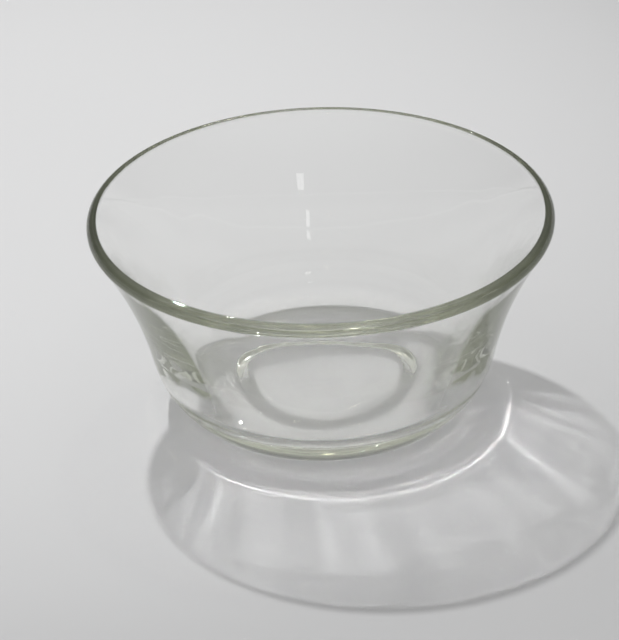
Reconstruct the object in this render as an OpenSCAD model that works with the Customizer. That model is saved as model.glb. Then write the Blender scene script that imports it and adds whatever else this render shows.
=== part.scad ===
// Clear pressed glass prep bowl with a flared wall, a rounded lip and a recessed foot.
// The glass is one casting. Its zones are drawn as separate solids that meet face to face.
// Every zone is a ring or a disc turned about the upright axis, which stands at the origin.

/* [Overall] */
// Outside diameter at the rim
rim_d = 120; // [90:1:160]
// Height from the table to the top of the rim
height = 53; // [46:0.5:66]

/* [Outside of the wall] */
// How far the rim overhangs the waist, where the rounded heel turns into the flare
flare_out = 14.8; // [11:0.1:18]
// Height of the waist
waist_h = 14.2; // [12.6:0.1:18]
// Lean of the wall away from upright at the waist, in degrees
waist_lean = 12; // [8:0.5:15]
// How far the waist overhangs the edge of the foot
heel_out = 8.6; // [6.5:0.1:11]

/* [Inside of the wall] */
// Level thickness of the wall at the waist
wall_t = 6; // [4.5:0.1:7]

/* [Lip] */
// Radius of the large round on the outside of the lip
lip_outer_r = 2.3; // [1.8:0.1:2.8]
// Radius of the small round on the inside of the lip
lip_inner_r = 1.1; // [0.8:0.1:1.6]
// Lean of the crown of the lip, where its two rounds meet, in degrees from upright
crown_lean = 30; // [20:1:40]

/* [Floor and foot] */
// Height of the inside floor above the table
floor_h = 6; // [5:0.1:6.5]
// Radius of the round between the inside floor and the wall
corner_r = 7; // [5:0.1:9]
// Width of the ring that stands on the table
foot_w = 11.3; // [8:0.1:13]
// Depth of the shallow recess under the floor
recess_depth = 2.5; // [1.5:0.1:3]
// Slope of the recess edge, in degrees from level
recess_slope = 30; // [20:1:45]

/* [Hidden] */
$fn = 360;
glass = [0.80, 0.86, 0.80, 0.5];

// Unit vector square to a wall that leans by the given angle, pointing out of the bowl
function outward(lean) = [cos(lean), -sin(lean)];

// Points of the half section, as [radius, height]
waist = [rim_d / 2 - flare_out, waist_h];
foot_edge = [waist[0] - heel_out, 0];

// The two rounds of the lip meet smoothly along the crown, so their centres both lie on its line
crown = [sin(crown_lean), cos(crown_lean)];
round_gap = lip_outer_r - lip_inner_r;
outer_round = [rim_d / 2 - lip_outer_r, height - lip_inner_r - round_gap * crown[1]];
inner_round = outer_round + round_gap * crown;
lip_cut = 2 * lip_outer_r;

// The heel arc passes through the edge of the foot and is tangent to the wall at the waist
heel_rise = waist - foot_edge;
heel_r = heel_rise * heel_rise / (2 * outward(waist_lean) * heel_rise);
heel_centre = waist - heel_r * outward(waist_lean);

// The outer flare arc is tangent to the heel at the waist, and tangent to the large round of the lip
flare_rise = outer_round - waist;
flare_lever = lip_outer_r + outward(waist_lean) * flare_rise;
flare_r = (flare_rise * flare_rise - pow(lip_outer_r, 2)) / (2 * flare_lever);
flare_centre = waist + flare_r * outward(waist_lean);

// Unit vector across the wall at the lip, pointing out of the bowl
lip_line = (flare_centre - outer_round) / norm(flare_centre - outer_round);
lip_lean = asin(-lip_line[1]);

// The inner wall is one arc through the inside of the waist, tangent to the small round of the lip
inner_waist = waist - [wall_t, 0];
inner_rise = inner_round - inner_waist;
inner_lever = lip_inner_r - lip_line * inner_rise;
inner_reach = (inner_rise * inner_rise - pow(lip_inner_r, 2)) / (2 * inner_lever);
inner_r = inner_reach + lip_inner_r;
inner_centre = inner_round + inner_reach * lip_line;

// The corner round is tangent to the inside floor and to the inner wall, which it meets at corner_top
corner_z = floor_h + corner_r;
corner_span = inner_r + corner_r;
floor_r = inner_centre[0] - sqrt(pow(corner_span, 2) - pow(inner_centre[1] - corner_z, 2));
corner_centre = [floor_r, corner_z];
corner_top = corner_centre + corner_r * (inner_centre - corner_centre) / corner_span;

recess_r = foot_edge[0] - foot_w;
recess_floor_r = recess_r - recess_depth / tan(recess_slope);

// A flat disc in the half section
module round_at(centre, r) {
    translate(centre)
        circle(r);
}

// The part of the half section below the waist, out from an inner line and in from the heel arc
module heel_band(inner_low, inner_high) {
    intersection() {
        polygon([inner_low, [rim_d, inner_low[1]], [rim_d, inner_high[1]], inner_high]);
        round_at(heel_centre, heel_r);
    }
}

// The part of the large round that lies outside the crown
module outer_lip() {
    intersection() {
        round_at(outer_round, lip_outer_r);
        polygon([
            outer_round - lip_cut * crown,
            outer_round - lip_cut * crown + lip_cut * lip_line,
            outer_round + lip_cut * crown + lip_cut * lip_line,
            outer_round + lip_cut * crown
        ]);
    }
}

// The top of the inner wall, between the small round and the line across the wall
module inner_lip() {
    intersection() {
        round_at(inner_centre, inner_r);
        polygon([
            outer_round + lip_inner_r * lip_line,
            inner_round,
            inner_round - lip_cut * lip_line,
            outer_round - lip_cut * lip_line
        ]);
    }
}

// The rounded lip, down to the line across the wall through the centre of its large round
module rim_lip() {
    color(glass)
        rotate_extrude()
            difference() {
                union() {
                    outer_lip();
                    inner_lip();
                    round_at(inner_round, lip_inner_r);
                }
                translate(outer_round)
                    rotate(-lip_lean)
                        translate([-lip_cut, -lip_cut])
                            square([2 * lip_cut, lip_cut]);
            }
}

// The flared upper wall, from the waist up to the lip
module flared_wall() {
    color(glass)
        rotate_extrude()
            difference() {
                intersection() {
                    round_at(inner_centre, inner_r);
                    polygon([
                        inner_waist - [wall_t, 0],
                        [rim_d, waist_h],
                        outer_round + lip_cut * lip_line,
                        outer_round - lip_cut * lip_line
                    ]);
                }
                round_at(flare_centre, flare_r);
            }
}

// The lower wall, from the corner round up to the waist
module lower_wall() {
    color(glass)
        rotate_extrude()
            intersection() {
                round_at(inner_centre, inner_r);
                heel_band([floor_r, corner_top[1]], [floor_r, waist_h]);
            }
}

// The rounded heel between the floor and the lower wall
module heel() {
    color(glass)
        rotate_extrude()
            difference() {
                heel_band([floor_r, recess_depth], [floor_r, corner_top[1]]);
                round_at(corner_centre, corner_r);
            }
}

// The flat floor over the recess
module floor_disc() {
    color(glass)
        translate([0, 0, recess_depth])
            cylinder(r = floor_r, h = floor_h - recess_depth);
}

// The foot ring that stands on the table, with the sloped edge of the recess
module foot_ring() {
    color(glass)
        rotate_extrude()
            heel_band([recess_r, 0], [recess_floor_r, recess_depth]);
}

rim_lip();
flared_wall();
lower_wall();
heel();
floor_disc();
foot_ring();
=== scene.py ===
import math

import bpy
from mathutils import Matrix, Vector


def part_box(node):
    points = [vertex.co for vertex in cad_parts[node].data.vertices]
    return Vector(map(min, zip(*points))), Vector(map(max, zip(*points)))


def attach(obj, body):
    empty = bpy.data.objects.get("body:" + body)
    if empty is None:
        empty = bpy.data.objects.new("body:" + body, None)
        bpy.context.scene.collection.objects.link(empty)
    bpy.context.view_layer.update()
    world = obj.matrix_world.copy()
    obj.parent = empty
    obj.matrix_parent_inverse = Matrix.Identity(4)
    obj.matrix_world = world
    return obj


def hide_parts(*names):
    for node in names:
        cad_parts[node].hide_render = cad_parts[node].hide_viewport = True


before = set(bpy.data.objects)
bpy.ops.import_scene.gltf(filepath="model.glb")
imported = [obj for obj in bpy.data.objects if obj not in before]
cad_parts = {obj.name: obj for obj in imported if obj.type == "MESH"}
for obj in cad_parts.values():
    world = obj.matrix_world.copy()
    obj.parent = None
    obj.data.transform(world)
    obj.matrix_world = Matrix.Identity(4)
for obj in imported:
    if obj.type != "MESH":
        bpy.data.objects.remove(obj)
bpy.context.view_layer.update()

MM = 0.001

# Sizes of the bowl, in metres: what the solids' boxes give, then the rest of the half section
rim_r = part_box("rim_lip")[1][0]
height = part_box("rim_lip")[1][2]
waist_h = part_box("lower_wall")[1][2]
floor_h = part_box("floor_disc")[1][2]
recess_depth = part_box("floor_disc")[0][2]

FLARE_OUT = 14.8 * MM
WAIST_LEAN = math.radians(12)
HEEL_OUT = 8.6 * MM
WALL_T = 6 * MM
CORNER_R = 7 * MM
LIP_OUTER_R = 2.3 * MM
LIP_INNER_R = 1.1 * MM
CROWN_LEAN = math.radians(30)
FOOT_W = 11.3 * MM
RECESS_SLOPE = math.radians(30)

# How finely the outline is drawn, and how many meridians the turned mesh has
OUTLINE_STEP = 0.5 * MM
ARC_STEPS_PER_RADIAN = 36 / math.pi
MERIDIANS = 360

# How far along the outline the flame evens out a corner, and how many points to each side count
POLISH_REACH = 0.5 * MM
POLISH_POINTS = 6

# Ripples that the press leaves on the inside of the wall: waves round the bowl, phase, depth.
# Their phase turns by the twist, in radians, from the floor up to the rim.
RIPPLES = (
    (9, 0.4, 0.050 * MM),
    (14, 2.1, 0.050 * MM),
    (21, 4.4, 0.030 * MM),
    (27, 1.3, 0.018 * MM),
)
RIPPLE_TWIST = 1.5

# The glass: refraction, the tint that shows in thick places, and the faint unevenness of its skin
GLASS_IOR = 1.52
TINT_COLOUR = (0.54, 0.57, 0.42, 1)
TINT_DENSITY = 11.5
SKIN_DEPTH = 0.04 * MM
SKIN_SCALE = 120
SKIN_STRETCH = (1, 1, 0.4)

# The photograph's camera: distance and elevation are measured from the centre of the rim
PHOTO_W, PHOTO_H = 619, 640
CAMERA_DISTANCE = 0.84
CAMERA_ELEVATION = math.radians(28.235)
CAMERA_PITCH = math.radians(30.163)
CAMERA_YAW = math.radians(-0.278)
CAMERA_ROLL = math.radians(-1.683)
FOCAL_PIXELS = 3280
SENSOR_MM = 36

# The lamp stands behind the bowl and to the left, where the photograph's shadow points back to
LAMP_TOWARDS = Vector((-15.48, 42.2, 51.3)).normalized()
LAMP_DISTANCE = 4.0
LAMP_SIZE = 0.13
LAMP_POWER = 72

# A share of the lamp's light is traced with sharp caustics, for the bright lines in the shadow.
# It comes from a second lamp that stands just behind the first.
SHARP_SHARE = 0.3
SHARP_BEHIND = 0.01

# The floor's colour by distance, in metres, from the middle of the lit place behind the bowl: a
# painted pool of light, brightest close to that place
FLOOR_PAINTED_LIGHT_TONES = (
    (0.04, 0.72), (0.10, 0.715), (0.16, 0.67), (0.21, 0.61),
    (0.25, 0.525), (0.32, 0.515), (0.5, 0.54), (1, 0.62),
)
FLOOR_HUE = (0.995, 0.997, 1.005)
PAINTED_POOL_CENTRE = (-0.10, 0.12, 0)
FLOOR_REACH = 4.0
FLOOR_DROP = 0.05 * MM

# Brightness of the room by the height of the direction, from the horizon at 0 to overhead at 1
ROOM_TONES = ((0.0, 0.6), (0.06, 0.55), (0.14, 0.2), (0.4, 0.2), (0.7, 0.65), (1.0, 0.95))

# A window in front of the bowl, a little to the right of the camera, gives the small highlights
WINDOW_TOWARDS = Vector((0.165, -0.943, 0.289)).normalized()
WINDOW_DISTANCE = 2.0
WINDOW_W, WINDOW_H = 0.12, 0.20
WINDOW_POWER = 0.25

# A faint warm lamp on the ceiling gives the highlight on the front of the rim
CEILING_TOWARDS = Vector((0.10, 0.6, 0.8)).normalized()
CEILING_DISTANCE = 3.0
CEILING_SIZE = 0.25
CEILING_POWER = 2.5
CEILING_HUE = (1.0, 0.95, 0.8)

# How Cycles follows the light through the glass
BOUNCES = 96
INDIRECT_CLAMP = 60
TRAINING_SAMPLES = 64


def outward(lean):
    """Unit vector square to a wall that leans by the given angle, pointing out of the bowl."""
    return Vector((math.cos(lean), -math.sin(lean)))


def arc(centre, radius, start, end):
    """Points of an arc between two directions, in radians, at most an outline step apart."""
    count = math.ceil(abs(end - start) * max(radius / OUTLINE_STEP, ARC_STEPS_PER_RADIAN))
    turn = [start + (end - start) * i / count for i in range(count + 1)]
    return [centre + radius * Vector((math.cos(a), math.sin(a))) for a in turn]


def line(start, end):
    """Points of a straight stretch, one outline step apart."""
    count = max(2, math.ceil((end - start).length / OUTLINE_STEP))
    return [start.lerp(end, i / count) for i in range(count + 1)]


def angle_to(point, centre):
    """Direction of a point seen from a centre, from 0 up to a full turn."""
    offset = point - centre
    return math.atan2(offset.y, offset.x) % math.tau


def half_section():
    """Outline of the glass as (radius, height), from below, over the lip, to the inside floor."""
    waist = Vector((rim_r - FLARE_OUT, waist_h))
    foot_edge = Vector((waist.x - HEEL_OUT, 0))
    normal = outward(WAIST_LEAN)

    crown = Vector((math.sin(CROWN_LEAN), math.cos(CROWN_LEAN)))
    round_gap = LIP_OUTER_R - LIP_INNER_R
    outer_round = Vector((rim_r - LIP_OUTER_R, height - LIP_INNER_R - round_gap * crown.y))
    inner_round = outer_round + round_gap * crown

    heel_rise = waist - foot_edge
    heel_r = heel_rise.length_squared / (2 * normal.dot(heel_rise))
    heel_centre = waist - heel_r * normal

    flare_rise = outer_round - waist
    flare_lever = LIP_OUTER_R + normal.dot(flare_rise)
    flare_r = (flare_rise.length_squared - LIP_OUTER_R ** 2) / (2 * flare_lever)
    flare_centre = waist + flare_r * normal
    lip_line = (flare_centre - outer_round).normalized()

    inner_waist = waist - Vector((WALL_T, 0))
    inner_rise = inner_round - inner_waist
    inner_lever = LIP_INNER_R - lip_line.dot(inner_rise)
    inner_reach = (inner_rise.length_squared - LIP_INNER_R ** 2) / (2 * inner_lever)
    inner_centre = inner_round + inner_reach * lip_line
    inner_r = inner_reach + LIP_INNER_R

    corner_z = floor_h + CORNER_R
    corner_reach = math.sqrt((inner_r + CORNER_R) ** 2 - (inner_centre.y - corner_z) ** 2)
    corner_centre = Vector((inner_centre.x - corner_reach, corner_z))
    corner_top = corner_centre + CORNER_R * (inner_centre - corner_centre).normalized()

    recess_edge = Vector((foot_edge.x - FOOT_W, 0))
    recess_floor = Vector((recess_edge.x - recess_depth / math.tan(RECESS_SLOPE), recess_depth))

    lip_outer = outer_round + LIP_OUTER_R * lip_line
    lip_inner = inner_round - LIP_INNER_R * lip_line
    flare_ends = angle_to(waist, flare_centre), angle_to(lip_outer, flare_centre)
    inner_ends = angle_to(lip_inner, inner_centre), angle_to(corner_top, inner_centre)
    lip_start = math.atan2(lip_line.y, lip_line.x)
    lip_crown = math.pi / 2 - CROWN_LEAN
    stretches = [
        line(Vector((0, recess_depth)), recess_floor),
        line(recess_floor, recess_edge),
        line(recess_edge, foot_edge),
        arc(heel_centre, heel_r, math.atan2(*(foot_edge - heel_centre).yx), -WAIST_LEAN),
        arc(flare_centre, flare_r, *flare_ends),
        arc(outer_round, LIP_OUTER_R, lip_start, lip_crown),
        arc(inner_round, LIP_INNER_R, lip_crown, lip_start + math.pi),
        arc(inner_centre, inner_r, *inner_ends),
        arc(corner_centre, CORNER_R, math.atan2(*(corner_top - corner_centre).yx), -math.pi / 2),
        line(Vector((corner_centre.x, floor_h)), Vector((0, floor_h))),
    ]
    outline = [stretches[0][0]]
    for stretch in stretches:
        outline += stretch[1:]
    return outline


def fire_polished(outline):
    """The outline with the corners under the foot melted round, as by the polishing flame."""
    walked = [0.0]
    for before, after in zip(outline, outline[1:]):
        walked.append(walked[-1] + (after - before).length)
    melted = [outline[0]]
    for i in range(1, len(outline) - 1):
        if outline[i].y > floor_h - MM:
            melted.append(outline[i])
            continue
        total = Vector((0, 0))
        weight = 0.0
        for j in range(max(0, i - POLISH_POINTS), min(len(outline), i + POLISH_POINTS + 1)):
            pull = math.exp(-((walked[j] - walked[i]) / POLISH_REACH) ** 2)
            total += pull * outline[j]
            weight += pull
        melted.append(total / weight)
    melted.append(outline[-1])
    return melted


def ripple(turn, z):
    """How far the inside of the wall stands back from true at a turn and a height."""
    share = (z - floor_h) / (height - floor_h)
    fade = (4 * share * (1 - share)) ** 2 if 0 < share < 1 else 0
    twist = RIPPLE_TWIST * share
    return fade * sum(
        depth * math.sin(waves * turn + phase + twist) for waves, phase, depth in RIPPLES
    )


def turned_mesh(name, outline):
    """A closed mesh turned from an outline with both ends on the axis, rippled on the inside."""
    rings = outline[1:-1]
    crown = max(range(len(rings)), key=lambda i: rings[i].y)
    verts = [(0, 0, outline[0].y)]
    for i, point in enumerate(rings):
        for m in range(MERIDIANS):
            a = math.tau * m / MERIDIANS
            r = point.x + (ripple(a, point.y) if i > crown else 0)
            verts.append((r * math.cos(a), r * math.sin(a), point.y))
    verts.append((0, 0, outline[-1].y))

    def vert(ring, m):
        return 1 + ring * MERIDIANS + m % MERIDIANS

    faces = []
    last = len(verts) - 1
    for m in range(MERIDIANS):
        faces.append((0, vert(0, m + 1), vert(0, m)))
        for ring in range(len(rings) - 1):
            faces.append((
                vert(ring, m), vert(ring, m + 1),
                vert(ring + 1, m + 1), vert(ring + 1, m),
            ))
        faces.append((last, vert(len(rings) - 1, m), vert(len(rings) - 1, m + 1)))
    mesh = bpy.data.meshes.new(name)
    mesh.from_pydata(verts, [], faces)
    mesh.update()
    mesh.shade_smooth()
    piece = bpy.data.objects.new(name, mesh)
    bpy.context.scene.collection.objects.link(piece)
    return piece


def glass_material():
    """Clear pressed glass with an uneven skin, and the faint green that iron gives thick edges."""
    material = bpy.data.materials.new("clear_glass")
    material.use_nodes = True
    nodes, links = material.node_tree.nodes, material.node_tree.links
    shader = nodes["Principled BSDF"]
    shader.inputs["Base Color"].default_value = (1, 1, 1, 1)
    shader.inputs["Roughness"].default_value = 0.0
    shader.inputs["IOR"].default_value = GLASS_IOR
    shader.inputs["Transmission Weight"].default_value = 1.0
    tint = nodes.new("ShaderNodeVolumeAbsorption")
    tint.inputs["Color"].default_value = TINT_COLOUR
    tint.inputs["Density"].default_value = TINT_DENSITY
    links.new(tint.outputs["Volume"], nodes["Material Output"].inputs["Volume"])

    place = nodes.new("ShaderNodeTexCoord")
    stretch = nodes.new("ShaderNodeVectorMath")
    stretch.operation = "MULTIPLY"
    stretch.inputs[1].default_value = SKIN_STRETCH
    skin = nodes.new("ShaderNodeTexNoise")
    skin.inputs["Scale"].default_value = SKIN_SCALE
    skin.inputs["Detail"].default_value = 1
    bump = nodes.new("ShaderNodeBump")
    bump.inputs["Strength"].default_value = 1.0
    bump.inputs["Distance"].default_value = SKIN_DEPTH
    links.new(place.outputs["Object"], stretch.inputs[0])
    links.new(stretch.outputs["Vector"], skin.inputs["Vector"])
    links.new(skin.outputs["Fac"], bump.inputs["Height"])
    links.new(bump.outputs["Normal"], shader.inputs["Normal"])
    return material


def make_bowl():
    """The glass bowl, one continuous body that stands for all the zones of the solids."""
    bowl = turned_mesh("glass_bowl", fire_polished(half_section()))
    bowl.data.materials.append(glass_material())
    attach(bowl, "root")
    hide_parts("rim_lip", "flared_wall", "lower_wall", "heel", "floor_disc", "foot_ring")
    bowl.cycles.is_caustics_caster = True


def fill_ramp(ramp, tones, hue):
    """Puts the tones, as (position, brightness), into a colour ramp, all in one hue."""
    elements = ramp.color_ramp.elements
    for tone in tones[2:]:
        elements.new(0.5)
    for element, (position, _) in zip(elements, tones):
        element.position = position
    for element, (_, value) in zip(elements, tones):
        element.color = (value * hue[0], value * hue[1], value * hue[2], 1)


def make_floor():
    """The pale floor that the bowl stands on, with a pool of light painted into its colour."""
    corners = [
        (-FLOOR_REACH, -FLOOR_REACH, 0), (FLOOR_REACH, -FLOOR_REACH, 0),
        (FLOOR_REACH, FLOOR_REACH, 0), (-FLOOR_REACH, FLOOR_REACH, 0),
    ]
    mesh = bpy.data.meshes.new("floor")
    mesh.from_pydata(corners, [], [(0, 1, 2, 3)])
    floor = bpy.data.objects.new("floor", mesh)
    floor.location.z = -FLOOR_DROP
    bpy.context.scene.collection.objects.link(floor)
    material = bpy.data.materials.new("pale_floor")
    material.use_nodes = True
    nodes, links = material.node_tree.nodes, material.node_tree.links
    shader = nodes["Principled BSDF"]
    place = nodes.new("ShaderNodeTexCoord")
    away = nodes.new("ShaderNodeVectorMath")
    away.operation = "DISTANCE"
    away.inputs[1].default_value = PAINTED_POOL_CENTRE
    # Painted light: the ramp makes the floor's colour brighter round the lit place, as a pool of
    # light would
    ramp = nodes.new("ShaderNodeValToRGB")
    ramp.color_ramp.interpolation = "B_SPLINE"
    links.new(place.outputs["Object"], away.inputs[0])
    links.new(away.outputs["Value"], ramp.inputs["Fac"])
    links.new(ramp.outputs["Color"], shader.inputs["Base Color"])
    fill_ramp(ramp, FLOOR_PAINTED_LIGHT_TONES, FLOOR_HUE)
    shader.inputs["Roughness"].default_value = 0.6
    shader.inputs["Specular IOR Level"].default_value = 0.2
    mesh.materials.append(material)
    floor.cycles.is_caustics_receiver = True


def make_lamp(name, towards, distance, size, power, hue=(1, 1, 1), sharp=False):
    """An area lamp that faces the bowl: a disc, or a rectangle when the size is a pair."""
    light = bpy.data.lights.new(name, "AREA")
    if isinstance(size, tuple):
        light.shape = "RECTANGLE"
        light.size, light.size_y = size
    else:
        light.shape = "DISK"
        light.size = size
    light.energy = power
    light.color = hue
    light.cycles.is_caustics_light = sharp
    lamp = bpy.data.objects.new(name, light)
    lamp.location = towards * distance
    lamp.rotation_euler = towards.to_track_quat("Z", "Y").to_euler()
    bpy.context.scene.collection.objects.link(lamp)


def make_world():
    """Soft room light: bright overhead, darker walls, and a pale band along the horizon."""
    world = bpy.data.worlds.new("room")
    world.use_nodes = True
    nodes, links = world.node_tree.nodes, world.node_tree.links
    place = nodes.new("ShaderNodeTexCoord")
    split = nodes.new("ShaderNodeSeparateXYZ")
    ramp = nodes.new("ShaderNodeValToRGB")
    links.new(place.outputs["Generated"], split.inputs["Vector"])
    links.new(split.outputs["Z"], ramp.inputs["Fac"])
    links.new(ramp.outputs["Color"], nodes["Background"].inputs["Color"])
    fill_ramp(ramp, ROOM_TONES, (1, 1, 1))
    bpy.context.scene.world = world


def make_camera():
    """The photograph's camera, with no shift."""
    camera_data = bpy.data.cameras.new("camera")
    camera_data.sensor_width = SENSOR_MM
    camera_data.lens = FOCAL_PIXELS * SENSOR_MM / max(PHOTO_W, PHOTO_H)
    camera_data.clip_start = 0.01
    camera = bpy.data.objects.new("camera", camera_data)
    back = -CAMERA_DISTANCE * math.cos(CAMERA_ELEVATION)
    up = height + CAMERA_DISTANCE * math.sin(CAMERA_ELEVATION)
    yaw = Matrix.Rotation(-CAMERA_YAW, 4, "Z")
    pitch = Matrix.Rotation(math.pi / 2 - CAMERA_PITCH, 4, "X")
    roll = Matrix.Rotation(CAMERA_ROLL, 4, "Z")
    camera.matrix_world = Matrix.Translation((0, back, up)) @ (yaw @ pitch) @ roll
    bpy.context.scene.collection.objects.link(camera)
    bpy.context.scene.camera = camera


make_camera()
make_bowl()
make_floor()
make_lamp("lamp", LAMP_TOWARDS, LAMP_DISTANCE, LAMP_SIZE, (1 - SHARP_SHARE) * LAMP_POWER)
make_lamp(
    "sharp_lamp", LAMP_TOWARDS, LAMP_DISTANCE + SHARP_BEHIND, LAMP_SIZE,
    SHARP_SHARE * LAMP_POWER, sharp=True,
)
make_lamp("window", WINDOW_TOWARDS, WINDOW_DISTANCE, (WINDOW_W, WINDOW_H), WINDOW_POWER)
make_lamp(
    "ceiling_lamp", CEILING_TOWARDS, CEILING_DISTANCE, CEILING_SIZE,
    CEILING_POWER, CEILING_HUE,
)
make_world()

scene = bpy.context.scene
scene.view_settings.view_transform = "Standard"
scene.cycles.max_bounces = BOUNCES
scene.cycles.transmission_bounces = BOUNCES
scene.cycles.glossy_bounces = BOUNCES
scene.cycles.blur_glossy = 0.0
scene.cycles.sample_clamp_indirect = INDIRECT_CLAMP
scene.cycles.use_denoising = True
scene.cycles.use_guiding = True
scene.cycles.use_surface_guiding = True
scene.cycles.use_volume_guiding = False
scene.cycles.guiding_training_samples = TRAINING_SAMPLES
